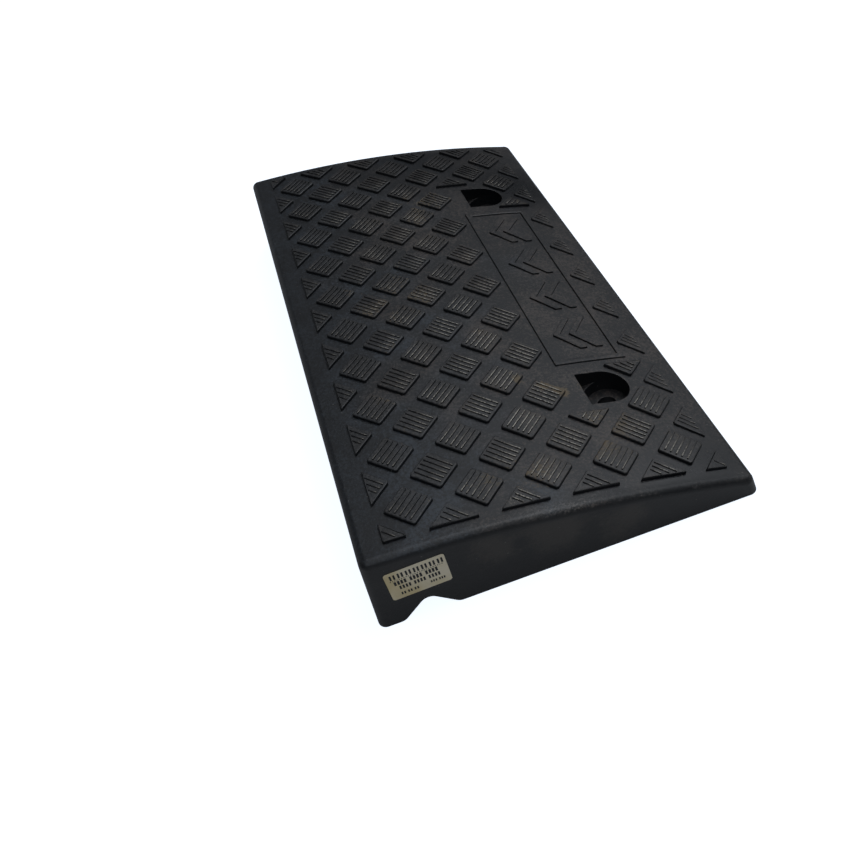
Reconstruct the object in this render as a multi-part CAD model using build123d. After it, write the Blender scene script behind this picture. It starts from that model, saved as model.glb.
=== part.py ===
from build123d import *

import math
import os

# A one-piece moulded kerb ramp with a studded tread, and the label on its end wall.
# X runs downhill from the tall wall to the toe, Y runs along the kerb, Z is up.
# The origin is on the ground at the middle of the footprint. Sizes are millimetres.

# Footprint and side profile
LENGTH = 500.0
WIDTH = 270.0
DECK_EDGE_HEIGHT = 69.2     # where the deck would meet the tall wall
TOE_HEIGHT = 14.2           # where the deck would meet the toe wall
DECK_RADIUS = 940.0         # the deck bows upwards along one large arc
TALL_DRAFT = 2.9            # degrees that the tall wall leans in
TOE_DRAFT = 14.0            # degrees that the toe wall leans in
END_DRAFT = 0.4             # degrees that the end walls lean in
CORNER_RADIUS = 6.0         # upright corners
RIM_RADIUS = 5.5            # rounded rim between the deck and the walls

# Hollow underside
WALL = 5.0
RIB = 3.5
WIDEST_BAY = 52.0           # most that two ribs may stand apart, middle to middle

# Drain channel along the foot of the tall wall, open at both ends
CHANNEL_FROM_KERB = 36.9    # middle of the channel, from the foot of the tall wall
CHANNEL_WIDTH = 38.5
CHANNEL_PEAK = 19.0         # height of the arch before its crown is rounded
CHANNEL_RADIUS = 7.0        # crown and feet of the arch

# Bolt recesses
BOLT_FROM_TOE = 62.1        # bolt line, from the foot of the toe wall
BOLT_SPACING = 285.0
BOLT_HOLE_RADIUS = 7.0
RECESS_RADIUS = 17.0        # round downhill end and half width
RECESS_LEDGE_Z = 24.5       # ledge left in the square uphill corners
BOLT_SEAT_Z = 16.0          # floor that the bolt head bears on
SEAT_RADIUS = 15.4          # the counterbore opens from here to the recess radius at the ledge
CUP_WALL = 4.0              # plastic round and under the recess
BOSS_RADIUS = 12.0          # post from the seat down to the ground

# Tread pads: squares turned by 45 degrees, in columns down the slope and rows along the kerb.
# Distances down the slope are measured along the deck from its tall edge.
PAD_SIZE = 24.5
PAD_CORNER = 1.4            # flat across each corner
PAD_HEIGHT = 2.3
PAD_DRAFT = 6.0             # degrees
PAD_ROOT = 1.0              # depth that a pad is sunk into the deck
HALF_PITCH = 23.75          # from one column or row to the next
FIRST_COLUMN = 20.9
TREAD_TALL_MARGIN = 21.9    # plain strip along the tall edge
TREAD_TOE_MARGIN = 18.3     # plain strip along the toe
TREAD_END_MARGIN = 12.5     # plain strip along each end

# Flat panel between the bolt recesses, inside a low raised frame
PANEL_MIDDLE = 212.5        # distance down the deck
PANEL_WIDTH = 57.3
PANEL_LENGTH = 226.4
PANEL_BAND = 5.2
PANEL_RAISE = 0.8
PANEL_CORNER = 1.0
PANEL_CLEARANCE = 6.75      # from the frame to the pads at its ends
RECESS_CLEARANCE = 7.75     # from a recess to the pads beyond it

# Label on the end wall
LABEL_WIDTH = 40.4
LABEL_HEIGHT = 28.3
LABEL_CORNER = 2.0
LABEL_THICKNESS = 0.25
LABEL_FROM_KERB = 35.4      # middle of the label, from the foot of the tall wall
LABEL_Z = 40.4
LABEL_TILT = 1.4            # degrees

# Lines across the footprint
CHANNEL_X = CHANNEL_FROM_KERB - WIDTH / 2
BOLT_X = WIDTH / 2 - BOLT_FROM_TOE
LABEL_X = LABEL_FROM_KERB - WIDTH / 2

# Deck arc, worked out from the profile
RISE = DECK_EDGE_HEIGHT - TOE_HEIGHT
CHORD = math.hypot(WIDTH, RISE)
SAG = math.sqrt(DECK_RADIUS ** 2 - (CHORD / 2) ** 2)
ARC_X = -SAG * RISE / CHORD
ARC_Z = (DECK_EDGE_HEIGHT + TOE_HEIGHT) / 2 - SAG * WIDTH / CHORD
START_ANGLE = math.asin((-WIDTH / 2 - ARC_X) / DECK_RADIUS)
CUT_HEIGHT = 2 * DECK_EDGE_HEIGHT   # tall enough to pass through the whole ramp


def distance_down(x):
    """Distance along the deck from its tall edge to a place x."""
    return DECK_RADIUS * (math.asin((x - ARC_X) / DECK_RADIUS) - START_ANGLE)


def deck_plane(distance, y):
    """Plane that touches the deck, with its x axis pointing straight downhill."""
    angle = START_ANGLE + distance / DECK_RADIUS
    downhill = (math.cos(angle), 0, -math.sin(angle))
    outward = (math.sin(angle), 0, math.cos(angle))
    foot = (ARC_X + DECK_RADIUS * outward[0], y, ARC_Z + DECK_RADIUS * outward[2])
    return Plane(origin=foot, x_dir=downhill, z_dir=outward)


def under_arc(radius):
    """Everything under an arc that shares the deck's centre, as long as the ramp."""
    disc = Plane.XZ * Pos(ARC_X, ARC_Z) * Circle(radius)
    return extrude(disc, LENGTH, both=True)


def leaning_wall_shift(angle):
    """How far a wall leans in from the ground up to the cutting height."""
    return CUT_HEIGHT * math.tan(math.radians(angle))


def wedge(inset):
    """The ramp's outer form, with its walls and its deck moved in by an inset."""
    half_width = WIDTH / 2 - inset
    half_length = LENGTH / 2 - inset
    side = Polygon(
        (-half_width, 0),
        (half_width, 0),
        (half_width - leaning_wall_shift(TOE_DRAFT), CUT_HEIGHT),
        (-half_width + leaning_wall_shift(TALL_DRAFT), CUT_HEIGHT),
        align=None,
    )
    top_half_length = half_length - leaning_wall_shift(END_DRAFT)
    end = Polygon(
        (-half_length, 0),
        (half_length, 0),
        (top_half_length, CUT_HEIGHT),
        (-top_half_length, CUT_HEIGHT),
        align=None,
    )
    walls = extrude(Plane.XZ * side, LENGTH, both=True) & extrude(Plane.YZ * end, WIDTH, both=True)
    return walls & under_arc(DECK_RADIUS - inset)


def outer_block():
    """Solid ramp with rounded corners and a rounded rim."""
    block = wedge(0)
    upright = block.edges().filter_by(lambda edge: abs(edge.tangent_at(0.5).Z) > 0.9)
    block = fillet(upright, CORNER_RADIUS)
    deck = block.faces().filter_by(GeomType.CYLINDER).sort_by(SortBy.AREA)[-1]
    return fillet(deck.edges(), RIM_RADIUS)


def evenly(start, end):
    """Places that divide a stretch into equal bays, without its two ends."""
    bays = math.ceil((end - start) / WIDEST_BAY)
    return [start + (end - start) * step / bays for step in range(1, bays)]


def underside_ribs():
    """Grid of ribs that meets both bolt bosses and leaves the drain channel free."""
    bolt_y = BOLT_SPACING / 2
    wall_y = LENGTH / 2 - WALL
    beyond = evenly(bolt_y, wall_y)
    cross = evenly(-bolt_y, bolt_y) + [-bolt_y, bolt_y]
    cross += beyond + [-y for y in beyond]
    channel_rib = CHANNEL_X + (CHANNEL_WIDTH + RIB) / 2
    lengthwise = evenly(channel_rib, BOLT_X) + [channel_rib, BOLT_X]
    lengthwise += evenly(BOLT_X, WIDTH / 2 - WALL)
    upright = (Align.CENTER, Align.CENTER, Align.MIN)
    ribs = [Pos(0, y) * Box(WIDTH, RIB, CUT_HEIGHT, align=upright) for y in cross]
    ribs += [Pos(x, 0) * Box(RIB, LENGTH, CUT_HEIGHT, align=upright) for x in lengthwise]
    return ribs


def recess_outline(margin):
    """Recess seen from above: round towards the toe, square towards the tall wall."""
    radius = RECESS_RADIUS + margin
    square = Rectangle(radius, 2 * radius, align=(Align.MAX, Align.CENTER))
    return Circle(radius) + square


def recess_cup(y):
    """Plastic round a bolt recess, with the post under the bolt seat."""
    place = Pos(BOLT_X, y)
    upper = Pos(0, 0, RECESS_LEDGE_Z - CUP_WALL) * extrude(recess_outline(CUP_WALL), CUT_HEIGHT)
    lower = Pos(0, 0, BOLT_SEAT_Z - CUP_WALL) * extrude(Circle(RECESS_RADIUS + CUP_WALL), CUT_HEIGHT)
    post = extrude(Circle(BOSS_RADIUS), CUT_HEIGHT)
    return [place * upper, place * lower, place * post]


def recess_cut(y):
    """Open space of a bolt recess, with its counterbore and bolt hole."""
    place = Pos(BOLT_X, y)
    upper = Pos(0, 0, RECESS_LEDGE_Z) * extrude(recess_outline(0), CUT_HEIGHT)
    depth = RECESS_LEDGE_Z - BOLT_SEAT_Z
    upright = (Align.CENTER, Align.CENTER, Align.MIN)
    counterbore = Pos(0, 0, BOLT_SEAT_Z) * Cone(SEAT_RADIUS, RECESS_RADIUS, depth, align=upright)
    hole = extrude(Circle(BOLT_HOLE_RADIUS), CUT_HEIGHT)
    return [place * upper, place * counterbore, place * hole]


def drain_channel():
    """Arched channel under the ramp, from one end wall to the other."""
    half = CHANNEL_WIDTH / 2
    skirt = 2 * CHANNEL_RADIUS
    arch = Polygon(
        (-half - skirt, 0),
        (-half, 0),
        (0, CHANNEL_PEAK),
        (half, 0),
        (half + skirt, 0),
        (half + skirt, -skirt),
        (-half - skirt, -skirt),
        align=None,
    )
    bends = arch.vertices().filter_by(lambda point: abs(point.X) <= half and point.Y >= 0)
    return extrude(Plane.XZ * Pos(CHANNEL_X, 0) * fillet(bends, CHANNEL_RADIUS), LENGTH, both=True)


def hollow_cells(bolt_rows):
    """Pockets of the underside between the walls, ribs and recess cups."""
    solid = underside_ribs()
    for y in bolt_rows:
        solid += recess_cup(y)
    return wedge(WALL) - solid


def cleared_half_length(distance):
    """Half length of the strip that has no pads, at a distance down the deck."""
    panel_start = PANEL_MIDDLE - PANEL_WIDTH / 2
    panel_end = PANEL_MIDDLE + PANEL_WIDTH / 2
    if not panel_start < distance < panel_end:
        return 0.0
    if distance < distance_down(BOLT_X + RECESS_RADIUS):
        return BOLT_SPACING / 2 + RECESS_RADIUS + RECESS_CLEARANCE
    return PANEL_LENGTH / 2 + PANEL_CLEARANCE


def pad_window(distance, y):
    """Part of the tread that a pad may fill: lowest and highest corner about the pad's centre."""
    tread_end = distance_down(WIDTH / 2) - TREAD_TOE_MARGIN
    half_length = LENGTH / 2 - TREAD_END_MARGIN
    cleared = cleared_half_length(distance)
    low_y = cleared if cleared and y >= 0 else -half_length
    high_y = -cleared if cleared and y < 0 else half_length
    return (TREAD_TALL_MARGIN - distance, low_y - y), (tread_end - distance, high_y - y)


def pad_outline(low, high):
    """A turned square with clipped corners, trimmed to its window."""
    square = Rectangle(PAD_SIZE, PAD_SIZE)
    clipped = Rot(0, 0, 45) * chamfer(square.vertices(), PAD_CORNER)
    middle = Pos((low[0] + high[0]) / 2, (low[1] + high[1]) / 2)
    return clipped & middle * Rectangle(high[0] - low[0], high[1] - low[1])


def tread_pads():
    """Every pad of the tread, whole or trimmed."""
    reach = PAD_SIZE / math.sqrt(2)
    columns = math.ceil((distance_down(WIDTH / 2) - FIRST_COLUMN) / HALF_PITCH)
    rows = math.ceil(LENGTH / 2 / HALF_PITCH)
    pads = []
    for column in range(columns + 1):
        distance = FIRST_COLUMN + column * HALF_PITCH
        for row in range(-rows, rows + 1):
            y = row * HALF_PITCH
            if (column + row) % 2:
                continue
            low, high = pad_window(distance, y)
            room = min(high[0], -low[0], high[1], -low[1])
            if room < -reach / 2:
                continue
            root = deck_plane(distance, y).offset(-PAD_ROOT)
            pads.append(extrude(root * pad_outline(low, high), PAD_ROOT + PAD_HEIGHT, taper=PAD_DRAFT))
    return pads


def panel_frame():
    """Low raised band round the flat panel, following the deck."""
    outer = RectangleRounded(PANEL_WIDTH, PANEL_LENGTH, PANEL_CORNER)
    inner = Rectangle(PANEL_WIDTH - 2 * PANEL_BAND, PANEL_LENGTH - 2 * PANEL_BAND)
    root = deck_plane(PANEL_MIDDLE, 0).offset(-2 * PANEL_RAISE)
    band = extrude(root * (outer - inner), 4 * PANEL_RAISE)
    return band & under_arc(DECK_RADIUS + PANEL_RAISE)


def ramp_body():
    """The whole moulding."""
    bolt_rows = (-BOLT_SPACING / 2, BOLT_SPACING / 2)
    body = outer_block() - hollow_cells(bolt_rows)
    body += tread_pads() + [panel_frame()]
    cuts = [drain_channel()]
    for y in bolt_rows:
        cuts += recess_cut(y)
    return body - cuts


def side_label():
    """Label stuck flat on the leaning end wall."""
    lean = math.radians(END_DRAFT)
    wall_y = -LENGTH / 2 + LABEL_Z * math.tan(lean)
    outward = (0, -math.cos(lean), math.sin(lean))
    wall = Plane(origin=(LABEL_X, wall_y, LABEL_Z), x_dir=(1, 0, 0), z_dir=outward)
    outline = Rot(0, 0, LABEL_TILT) * RectangleRounded(LABEL_WIDTH, LABEL_HEIGHT, LABEL_CORNER)
    return extrude(wall * outline, LABEL_THICKNESS)


os.makedirs("parts", exist_ok=True)
export_step(ramp_body(), "parts/ramp_body.step")
export_step(side_label(), "parts/side_label.step")
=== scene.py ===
"""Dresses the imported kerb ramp: softened moulding, ribbed tread, panel chevrons and end label.

Lengths are metres. X runs downhill from the tall wall to the toe, Y runs along the kerb, Z is up.
"""

import logging
import math
from collections.abc import Iterable, Iterator
from dataclasses import dataclass
from enum import Enum
from functools import partial, reduce

import bmesh
import bpy
from mathutils import Matrix, Vector


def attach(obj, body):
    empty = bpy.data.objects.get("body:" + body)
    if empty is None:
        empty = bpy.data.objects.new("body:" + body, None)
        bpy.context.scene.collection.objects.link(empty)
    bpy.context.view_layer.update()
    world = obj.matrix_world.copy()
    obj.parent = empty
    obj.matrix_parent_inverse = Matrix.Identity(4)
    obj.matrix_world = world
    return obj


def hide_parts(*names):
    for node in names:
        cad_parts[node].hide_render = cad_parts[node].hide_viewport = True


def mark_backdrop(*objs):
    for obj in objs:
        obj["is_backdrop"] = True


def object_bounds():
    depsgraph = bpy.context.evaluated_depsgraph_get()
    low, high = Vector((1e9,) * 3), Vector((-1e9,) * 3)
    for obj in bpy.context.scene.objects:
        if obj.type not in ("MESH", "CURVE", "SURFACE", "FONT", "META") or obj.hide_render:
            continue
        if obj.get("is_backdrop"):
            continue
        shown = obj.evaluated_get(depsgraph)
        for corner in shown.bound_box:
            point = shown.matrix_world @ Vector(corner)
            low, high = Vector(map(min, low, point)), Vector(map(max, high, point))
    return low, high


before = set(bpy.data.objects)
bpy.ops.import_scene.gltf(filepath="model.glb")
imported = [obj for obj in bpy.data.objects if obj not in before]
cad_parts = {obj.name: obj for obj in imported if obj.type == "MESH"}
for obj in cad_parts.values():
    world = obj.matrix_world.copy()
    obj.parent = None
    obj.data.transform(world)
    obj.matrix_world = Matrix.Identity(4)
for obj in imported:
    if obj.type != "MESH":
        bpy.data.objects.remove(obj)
CAD_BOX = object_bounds()

LOG = logging.getLogger("kerb_ramp")
MM = 0.001
BODY = "root"
# Vertex layer of the ribs' crest rub, stronger at the near ends, where it is partly painted highlight.
WEAR_AND_HIGHLIGHT_LAYER = "wear_and_highlight"

Band = tuple[float, float]
Colour = tuple[float, float, float, float]
Socket = bpy.types.NodeSocket
Source = Socket | float | Colour | Vector
Shape = bmesh.types.BMesh
Edge = bmesh.types.BMEdge


class RibSlant(Enum):
    """Which way the ribs of a pad run, as the step along the kerb for each step downhill."""

    TO_FAR_END = 1
    TO_NEAR_END = -1


@dataclass(frozen=True)
class Mark:
    """A place where the ramp is dustier or more rubbed than elsewhere; place and reach in millimetres."""

    x: float
    y: float
    z: float
    reach: float
    strength: float

    @property
    def middle(self) -> Vector:
        """Middle of the mark, in metres."""
        return Vector((self.x, self.y, self.z)) * MM


@dataclass(frozen=True)
class DeckArc:
    """The bowed deck: one large arc down the slope, the same all along the kerb."""

    width: float = 270 * MM
    tall_edge: float = 69.2 * MM
    toe_edge: float = 14.2 * MM
    radius: float = 940 * MM

    @property
    def centre(self) -> Vector:
        """Centre of the arc, in the plane y = 0."""
        rise = self.tall_edge - self.toe_edge
        chord = math.hypot(self.width, rise)
        drop = math.sqrt(self.radius ** 2 - (chord / 2) ** 2)
        middle = (self.tall_edge + self.toe_edge) / 2
        return Vector((-drop * rise / chord, 0.0, middle - drop * self.width / chord))

    @property
    def start_angle(self) -> float:
        """Angle of the tall edge about the centre, from upright."""
        return math.asin((-self.width / 2 - self.centre.x) / self.radius)

    def distance_down(self, x: float) -> float:
        """Distance along the deck from its tall edge to a place x."""
        return self.radius * (math.asin((x - self.centre.x) / self.radius) - self.start_angle)

    def place(self, distance: float, y: float, lift: float = 0.0) -> Matrix:
        """Frame on the deck whose x axis points downhill and whose z axis points outward.

        Args:
            distance: Distance down the deck from its tall edge.
            y: Place along the kerb.
            lift: Height over the deck.

        Returns:
            The frame's matrix in the shared frame.
        """
        angle = self.start_angle + distance / self.radius
        outward = Vector((math.sin(angle), 0.0, math.cos(angle)))
        origin = self.centre + outward * (self.radius + lift) + Vector((0.0, y, 0.0))
        return Matrix.Translation(origin) @ Matrix.Rotation(angle, 4, "Y")

    def outward(self, point: Vector) -> Vector:
        """Direction square to the deck at a point."""
        centre = self.centre
        return Vector((point.x - centre.x, 0.0, point.z - centre.z)).normalized()

    def lift(self, point: Vector) -> float:
        """Height of a point over the deck."""
        centre = self.centre
        return math.hypot(point.x - centre.x, point.z - centre.z) - self.radius


@dataclass(frozen=True)
class Pad:
    """One pad of the tread, with the window that it is trimmed to about its own centre."""

    column: int
    row: int
    distance: float
    y: float
    low: Band
    high: Band

    @property
    def room(self) -> float:
        """Distance from the pad's centre to the nearest side of its window."""
        return min(self.high[0], -self.low[0], self.high[1], -self.low[1])


@dataclass(frozen=True)
class TreadLayout:
    """Where the pads of the tread are: turned squares in columns down the slope and rows along the kerb."""

    deck: DeckArc
    length: float = 500 * MM
    pad_size: float = 24.5 * MM
    pad_height: float = 2.3 * MM
    toe_column: int = 10
    toe_height: float = 1.6 * MM
    half_pitch: float = 23.75 * MM
    first_column: float = 20.9 * MM
    tall_margin: float = 21.9 * MM
    toe_margin: float = 18.3 * MM
    end_margin: float = 12.5 * MM
    panel_middle: float = 212.5 * MM
    panel_width: float = 57.3 * MM
    panel_length: float = 226.4 * MM
    panel_clearance: float = 6.75 * MM
    panel_raise: float = 0.8 * MM
    frame_height: float = 1.2 * MM
    bolt_x: float = 72.9 * MM
    bolt_spacing: float = 285 * MM
    recess_radius: float = 17 * MM
    recess_clearance: float = 7.75 * MM

    @property
    def reach(self) -> float:
        """Distance from a pad's centre to its corners."""
        return self.pad_size / math.sqrt(2)

    def height(self, column: int) -> float:
        """Height of the pads of a column, which are lower along the toe."""
        return self.toe_height if column == self.toe_column else self.pad_height

    def pad_under(self, point: Vector) -> Pad:
        """The pad whose square holds a point."""
        down = (self.deck.distance_down(point.x) - self.first_column) / self.half_pitch
        along = point.y / self.half_pitch
        first, second = round((down + along) / 2), round((down - along) / 2)
        return self.pad_at(first + second, first - second)

    def cleared_half_length(self, distance: float) -> float:
        """Half length of the strip without pads, at a distance down the deck."""
        if abs(distance - self.panel_middle) >= self.panel_width / 2:
            return 0.0
        if distance < self.deck.distance_down(self.bolt_x + self.recess_radius):
            return self.bolt_spacing / 2 + self.recess_radius + self.recess_clearance
        return self.panel_length / 2 + self.panel_clearance

    def pad_at(self, column: int, row: int) -> Pad:
        """The pad of one column and row, with its window."""
        distance = self.first_column + column * self.half_pitch
        y = row * self.half_pitch
        tread_end = self.deck.distance_down(self.deck.width / 2) - self.toe_margin
        half_length = self.length / 2 - self.end_margin
        cleared = self.cleared_half_length(distance)
        low_y = cleared if cleared and y >= 0 else -half_length
        high_y = -cleared if cleared and y < 0 else half_length
        low = (self.tall_margin - distance, low_y - y)
        high = (tread_end - distance, high_y - y)
        return Pad(column, row, distance, y, low, high)

    def pads(self) -> Iterator[Pad]:
        """Every pad, whole or trimmed."""
        deck_length = self.deck.distance_down(self.deck.width / 2)
        columns = math.ceil((deck_length - self.first_column) / self.half_pitch)
        rows = math.ceil(self.length / 2 / self.half_pitch)
        for column in range(columns + 1):
            for row in range(-rows, rows + 1):
                if (column + row) % 2:
                    continue
                pad = self.pad_at(column, row)
                if pad.room >= -self.reach / 2:
                    yield pad


class NodeSheet:
    """A short way to add and link the nodes of one shader tree."""

    def __init__(self, tree: bpy.types.NodeTree) -> None:
        """Works on one tree."""
        self.tree = tree

    def feed(self, socket: Socket, source: Source) -> None:
        """Links a socket to an output, or sets its plain value."""
        if isinstance(source, Socket):
            self.tree.links.new(source, socket)
        else:
            socket.default_value = source

    def add(self, kind: str, sources: dict[str | int, Source] | None = None, **settings) -> bpy.types.Node:
        """Adds a node.

        Args:
            kind: Blender's name for the node's type.
            sources: What feeds each input, by name or number.
            settings: Properties of the node itself.

        Returns:
            The new node.
        """
        node = self.tree.nodes.new(kind)
        for name, value in settings.items():
            setattr(node, name, value)
        for name, source in (sources or {}).items():
            self.feed(node.inputs[name], source)
        return node

    def math(self, operation: str, first: Source, second: Source = 0.0) -> Socket:
        """Result of a sum on two values."""
        return self.add("ShaderNodeMath", {0: first, 1: second}, operation=operation).outputs[0]

    def plus(self, *terms: Source) -> Socket:
        """Several values added up."""
        return reduce(partial(self.math, "ADD"), terms)

    def times(self, *factors: Source) -> Socket:
        """Several values multiplied."""
        return reduce(partial(self.math, "MULTIPLY"), factors)

    def minus(self, first: Source, second: Source) -> Socket:
        """One value less another."""
        return self.math("SUBTRACT", first, second)

    def vectors(self, operation: str, first: Source, second: Source) -> bpy.types.NodeOutputs:
        """Results of a sum on two vectors."""
        return self.add("ShaderNodeVectorMath", {0: first, 1: second}, operation=operation).outputs

    def noise(self, vector: Source, size: Source, detail: float = 2.0, rough: float = 0.5) -> Socket:
        """Noise whose lumps have a size in metres."""
        scale = self.math("DIVIDE", 1.0, size)
        sources = {"Vector": vector, "Scale": scale, "Detail": detail, "Roughness": rough}
        return self.add("ShaderNodeTexNoise", sources).outputs[0]

    def between(self, value: Source, low: Source, high: Source) -> Socket:
        """Smooth step from 0 at a low value to 1 at a high one."""
        sources = {"Value": value, "From Min": low, "From Max": high}
        return self.add("ShaderNodeMapRange", sources, interpolation_type="SMOOTHSTEP").outputs[0]

    def spread(self, value: Source, low: float, high: float) -> Socket:
        """A value from 0 to 1, stretched to run from low to high."""
        return self.add("ShaderNodeMapRange", {"Value": value, "To Min": low, "To Max": high}).outputs[0]

    def mix(self, factor: Source, first: Source, second: Source) -> Socket:
        """Colour between two colours."""
        return self.add("ShaderNodeMix", {0: factor, 6: first, 7: second}, data_type="RGBA").outputs[2]

    def group(self, tree: bpy.types.NodeTree, sources: dict[str, Source]) -> bpy.types.NodeOutputs:
        """Places a shared group and returns what it puts out."""
        node = self.add("ShaderNodeGroup", node_tree=tree)
        for name, source in sources.items():
            self.feed(node.inputs[name], source)
        return node.outputs

    def bump(self, shader: bpy.types.Node, height: Source, strength: float, depth: float) -> None:
        """Gives a shader a relief with a depth in metres."""
        sources = {"Height": height, "Strength": strength, "Distance": depth}
        self.feed(shader.inputs["Normal"], self.add("ShaderNodeBump", sources).outputs[0])


class SurfaceGroups:
    """The shader groups that the finishes share, each built once."""

    def __init__(self, deck: DeckArc) -> None:
        """Builds every group."""
        self.mark = self.build_mark()
        self.places = self.build_places(deck)
        self.grain = self.build_grain()
        self.dust = self.build_dust()
        self.scuffs = self.build_scuffs()

    @staticmethod
    def open_group(name: str, vectors: Iterable[str], values: Iterable[str], outputs: Iterable[str]) -> tuple:
        """Starts a group with named sockets.

        Args:
            name: Name of the group.
            vectors: Names of the inputs that are places.
            values: Names of the inputs that are plain values.
            outputs: Names of the outputs, which are plain values.

        Returns:
            The group, its node sheet, and the sockets that it is given and that it fills.
        """
        tree = bpy.data.node_groups.new(name, "ShaderNodeTree")
        sides = (
            (vectors, "INPUT", "NodeSocketVector"),
            (values, "INPUT", "NodeSocketFloat"),
            (outputs, "OUTPUT", "NodeSocketFloat"),
        )
        for labels, side, kind in sides:
            for label in labels:
                tree.interface.new_socket(name=label, in_out=side, socket_type=kind)
        sheet = NodeSheet(tree)
        return tree, sheet, sheet.add("NodeGroupInput").outputs, sheet.add("NodeGroupOutput").inputs

    def build_mark(self) -> bpy.types.NodeTree:
        """A soft round mark, strongest in its middle."""
        tree, sheet, given, filled = self.open_group(
            "soft_mark", ("Vector", "Middle"), ("Reach", "Strength"), ("Amount",))
        gap = sheet.vectors("DISTANCE", given["Vector"], given["Middle"])["Value"]
        near = sheet.between(gap, given["Reach"], 0.0)
        sheet.feed(filled["Amount"], sheet.times(near, given["Strength"]))
        return tree

    def marks(self, sheet: NodeSheet, vector: Source, marks: Iterable[Mark]) -> Source:
        """Sum of soft round marks, placed in a material's sheet."""
        total = 0.0
        for mark in marks:
            sources = {
                "Vector": vector,
                "Middle": mark.middle,
                "Reach": mark.reach * MM,
                "Strength": mark.strength,
            }
            total = sheet.plus(total, sheet.group(self.mark, sources)["Amount"])
        return total

    def build_places(self, deck: DeckArc) -> bpy.types.NodeTree:
        """Where a point is: height over the deck, distance from the nearer end and from the tall side."""
        tree, sheet, given, filled = self.open_group(
            "ramp_places", ("Vector",), (), ("Lift", "Along", "Down"))
        spot = sheet.add("ShaderNodeSeparateXYZ", {0: given["Vector"]}).outputs
        flat = sheet.add("ShaderNodeCombineXYZ", {"X": spot["X"], "Z": spot["Z"]}).outputs[0]
        reach = sheet.vectors("DISTANCE", flat, deck.centre)["Value"]
        sheet.feed(filled["Lift"], sheet.minus(reach, deck.radius))
        away = sheet.math("ABSOLUTE", spot["Y"])
        sheet.feed(filled["Along"], sheet.minus(CAD_BOX[1][1], away))
        sheet.feed(filled["Down"], sheet.minus(spot["X"], CAD_BOX[0][0]))
        return tree

    def build_grain(self) -> bpy.types.NodeTree:
        """Fine spark-eroded grain of a mould, with small flecks and slow changes in its gloss."""
        tree, sheet, given, filled = self.open_group(
            "mould_grain", ("Vector",), ("Grain Size", "Patch Size"), ("Height", "Fleck", "Mottle"))
        vector, size = given["Vector"], given["Grain Size"]
        fine = sheet.noise(vector, size, 3.0, 0.65)
        fleck = sheet.noise(vector, sheet.times(size, 2.4), 4.0, 0.75)
        sheet.feed(filled["Height"], sheet.plus(sheet.times(fine, 0.5), sheet.times(fleck, 1.6)))
        sheet.feed(filled["Fleck"], fleck)
        sheet.feed(filled["Mottle"], sheet.noise(vector, given["Patch Size"], 4.0, 0.6))
        return tree

    def place_grain(
            self, sheet: NodeSheet, vector: Source, size: float, patch: float) -> bpy.types.NodeOutputs:
        """Places the grain in a material's sheet."""
        return sheet.group(self.grain, {"Vector": vector, "Grain Size": size, "Patch Size": patch})

    def build_dust(self) -> bpy.types.NodeTree:
        """Road dust that settles in patches on what faces up."""
        tree, sheet, given, filled = self.open_group(
            "road_dust", ("Vector",), ("Facing", "Patch Size", "Cover"), ("Mask",))
        vector, size = given["Vector"], given["Patch Size"]
        patches = sheet.noise(vector, size, 5.0, 0.6)
        motes = sheet.noise(vector, sheet.math("DIVIDE", size, 16.0), 4.0, 0.7)
        blend = sheet.plus(sheet.times(patches, 0.45), sheet.times(motes, 0.55))
        edge = sheet.minus(0.68, sheet.times(given["Cover"], 0.25))
        cover = sheet.between(blend, edge, sheet.plus(edge, 0.16))
        up = sheet.between(given["Facing"], 0.35, 0.95)
        sheet.feed(filled["Mask"], sheet.times(cover, up))
        return tree

    def build_scuffs(self) -> bpy.types.NodeTree:
        """Thin scratches and pale specks from use."""
        tree, sheet, given, filled = self.open_group(
            "scuff_marks", ("Vector",), ("Speck Size", "Scratch Length"), ("Specks", "Scratches"))
        vector, length = given["Vector"], given["Scratch Length"]
        cells = sheet.math("DIVIDE", 1.0, sheet.times(given["Speck Size"], 9.0))
        sources = {"Vector": vector, "Scale": cells, "Randomness": 1.0}
        dots = sheet.add("ShaderNodeTexVoronoi", sources).outputs
        chance = sheet.add("ShaderNodeSeparateColor", {0: dots["Color"]}).outputs[0]
        radius = sheet.times(sheet.between(chance, 0.7, 1.0), 0.13)
        sheet.feed(filled["Specks"], sheet.math("LESS_THAN", dots["Distance"], radius))
        sources = {"Vector": vector, "Rotation": (0.0, 0.0, 0.5)}
        turned = sheet.add("ShaderNodeMapping", sources, vector_type="TEXTURE").outputs[0]
        thin = sheet.vectors("MULTIPLY", turned, (1.0, 26.0, 1.0))[0]
        streaks = sheet.noise(thin, length)
        gate = sheet.noise(vector, sheet.times(length, 1.7), 1.0)
        lines = sheet.times(sheet.between(streaks, 0.7, 0.76), sheet.between(gate, 0.52, 0.68))
        sheet.feed(filled["Scratches"], lines)
        return tree


def fresh_material(name: str) -> tuple[bpy.types.Material, NodeSheet, bpy.types.Node]:
    """A new node material.

    Args:
        name: Name of the material.

    Returns:
        The material, its node sheet and its Principled shader.
    """
    material = bpy.data.materials.new(name)
    material.use_nodes = True
    return material, NodeSheet(material.node_tree), material.node_tree.nodes["Principled BSDF"]


@dataclass(frozen=True)
class Survey:
    """What the plastic's nodes know of a point: where it is, which way it faces and its grain there."""

    vector: Socket
    facing: Socket
    lift: Socket
    along: Socket
    down: Socket
    grain: Socket
    fleck: Socket
    mottle: Socket
    rim: Socket
    bare: Socket


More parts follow.
